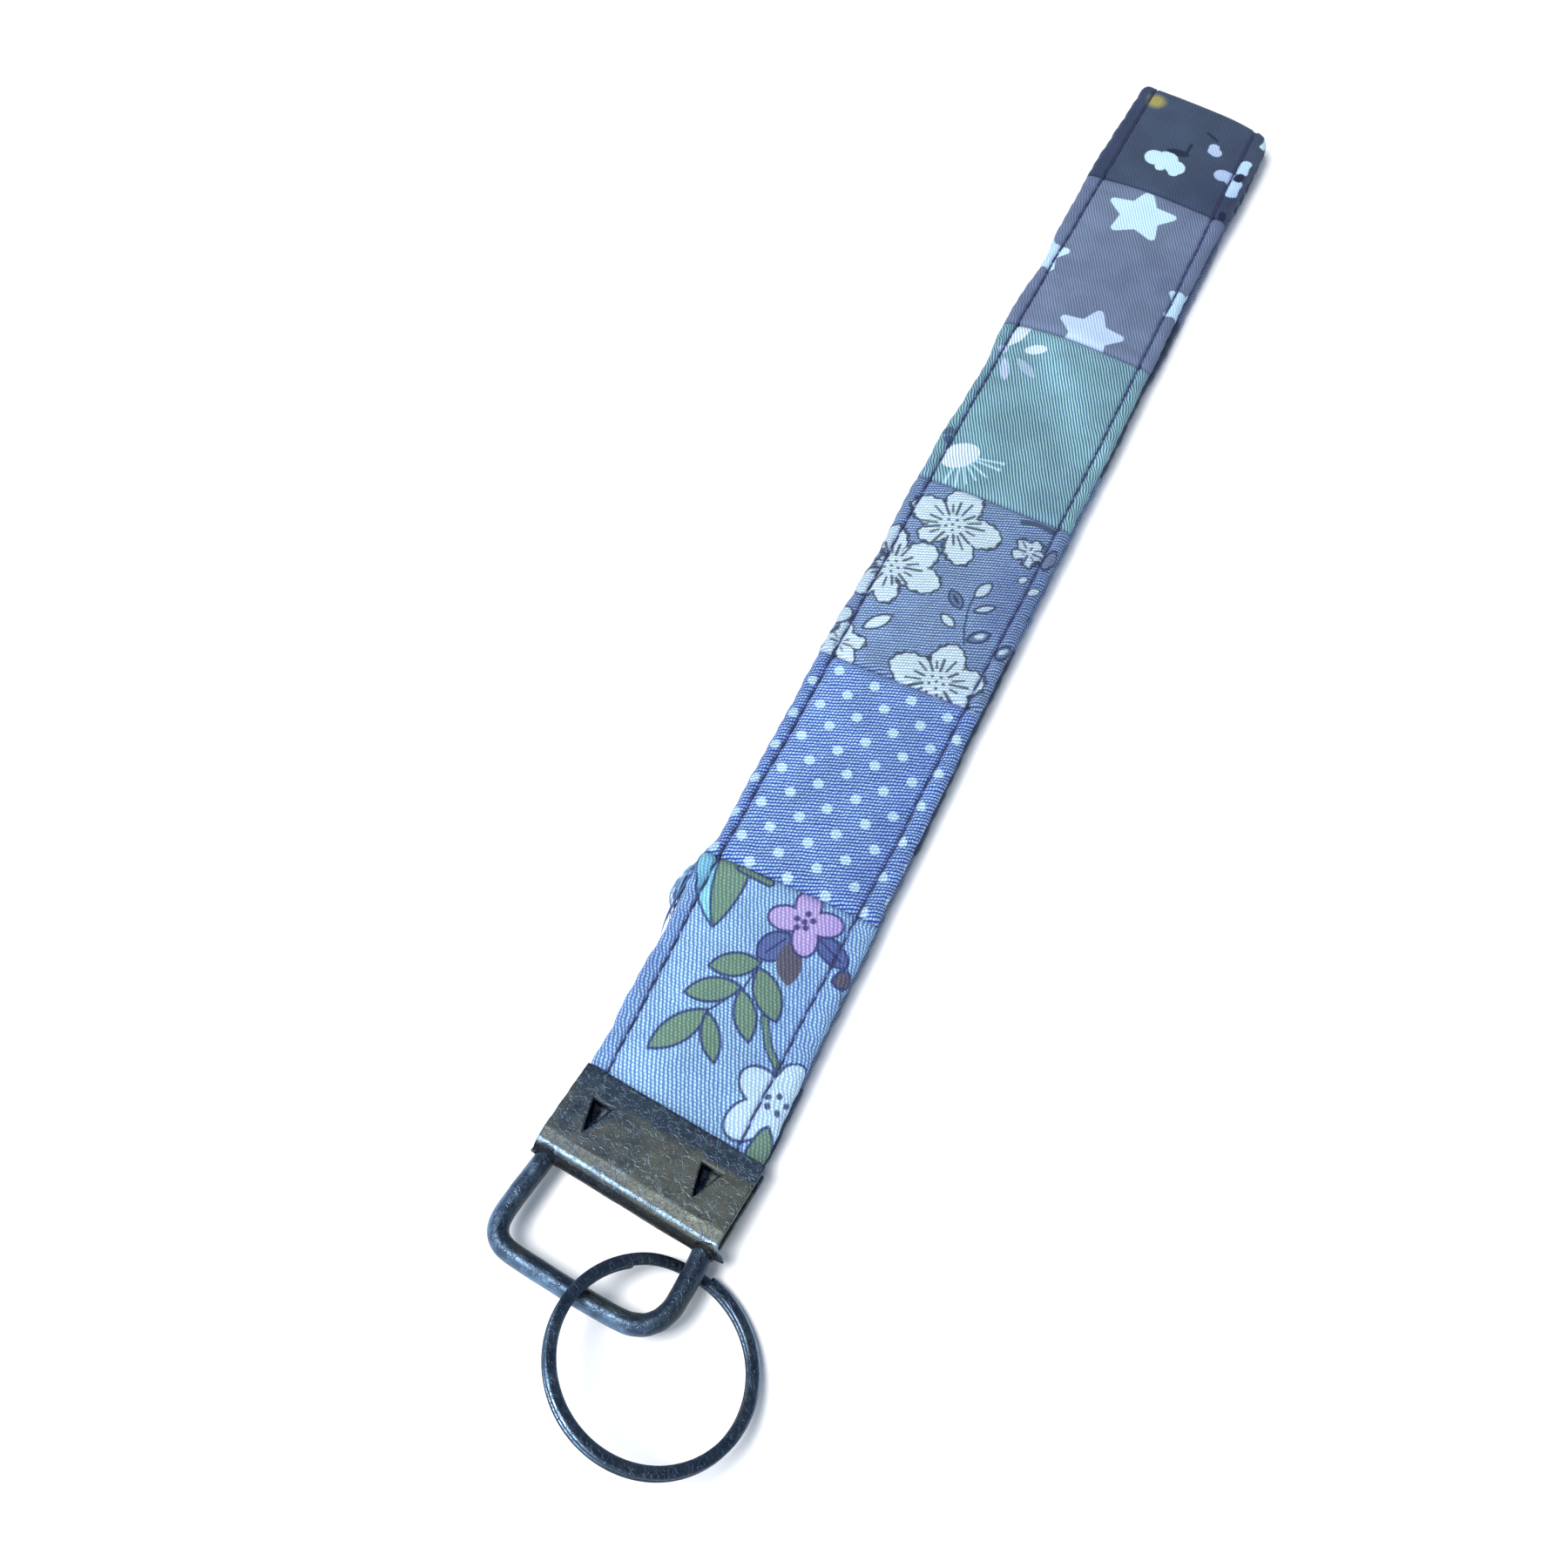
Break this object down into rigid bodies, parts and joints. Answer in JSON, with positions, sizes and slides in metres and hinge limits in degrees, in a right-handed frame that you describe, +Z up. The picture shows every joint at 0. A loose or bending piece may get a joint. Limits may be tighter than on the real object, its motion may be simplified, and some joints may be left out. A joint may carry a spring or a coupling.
{
  "type": "wristlet keychain",
  "caption": "Flat wrist strap of sewn cloth patches folded in half, its ends crimped in a metal clamp with a wire loop and a split ring for keys.",
  "frame": {"origin": "on the resting surface, under the middle of the clamp mouth", "axes": "+Y along the strap from the clamp to the fold, +X to the right, +Z up off the resting surface"},
  "size_m": [0.0384, 0.246, 0.0122],
  "materials": {
    "cloth_blue_floral": "printed cotton twill",
    "cloth_blue_dots": "printed cotton",
    "cloth_grey_blue_flowers": "printed cotton",
    "cloth_teal_leaves": "printed cotton twill",
    "cloth_grey_stars": "printed cotton",
    "cloth_navy": "printed cotton",
    "core_fleece": "pressed fleece",
    "navy_thread": "sewing thread",
    "antique_clamp": "antique, mottled patina",
    "antique_wire": "antique, polished"
  },
  "bodies": {
    "root": {"crimp_clamp": "antique_clamp", "wire_loop": "antique_wire", "strap_tail_upper": "cloth_blue_floral", "strap_tail_lower": "cloth_navy"},
    "key_ring": {"split_ring": "antique_wire"},
    "upper_near": {"core_upper_near": "core_fleece", "patch_01_upper_near": "cloth_blue_floral", "patch_02_upper_near": "cloth_blue_dots", "patch_03_upper_near": "cloth_grey_blue_flowers", "topstitch_upper_near": "navy_thread"},
    "upper_far": {"core_upper_far": "core_fleece", "patch_03_upper_far": "cloth_grey_blue_flowers", "patch_04_upper_far": "cloth_teal_leaves", "patch_05_upper_far": "cloth_grey_stars", "patch_06_upper_far": "cloth_navy", "topstitch_upper_far": "navy_thread"},
    "fold_end": {"core_fold_end": "core_fleece", "patch_06_fold_end": "cloth_navy", "topstitch_fold_end": "navy_thread"},
    "lower_far": {"core_lower_far": "core_fleece", "patch_06_lower_far": "cloth_navy", "patch_07_lower_far": "cloth_grey_stars", "patch_08_lower_far": "cloth_navy", "patch_09_lower_far": "cloth_grey_blue_flowers", "topstitch_lower_far": "navy_thread"},
    "lower_near": {"core_lower_near": "core_fleece", "patch_09_lower_near": "cloth_grey_blue_flowers", "patch_10_lower_near": "cloth_navy", "patch_11_lower_near": "cloth_grey_stars", "patch_12_lower_near": "cloth_navy", "topstitch_lower_near": "navy_thread"}
  },
  "joints": [
    {"name": "ring_swing", "type": "hinge", "parent": "root", "child": "key_ring", "pos_m": [0, -0.019, 0.0045], "axis": [-1, 0, 0], "range_deg": [0, 95]},
    {"name": "loop_open", "type": "hinge", "parent": "root", "child": "upper_near", "pos_m": [0, 0, 0.0026], "axis": [1, 0, 0], "range_deg": [0, 30]},
    {"name": "upper_bend", "type": "hinge", "parent": "upper_near", "child": "upper_far", "pos_m": [0, 0.1, 0.0026], "axis": [1, 0, 0], "range_deg": [-60, 0]},
    {"name": "fold_tip_bend", "type": "hinge", "parent": "upper_far", "child": "fold_end", "pos_m": [0, 0.2, 0.0026], "axis": [1, 0, 0], "range_deg": [0, 30]},
    {"name": "fold_bend", "type": "hinge", "parent": "upper_far", "child": "lower_far", "pos_m": [0, 0.2, 0.0026], "axis": [1, 0, 0], "range_deg": [0, 60]},
    {"name": "lower_bend", "type": "hinge", "parent": "lower_far", "child": "lower_near", "pos_m": [0, 0.1, 0.0026], "axis": [1, 0, 0], "range_deg": [-60, 0]}
  ],
  "couplings": [
    {"joint": "upper_bend", "follows": "loop_open", "ratio": -2},
    {"joint": "fold_tip_bend", "follows": "loop_open", "ratio": 1},
    {"joint": "fold_bend", "follows": "loop_open", "ratio": 2},
    {"joint": "lower_bend", "follows": "loop_open", "ratio": -2}
  ]
}
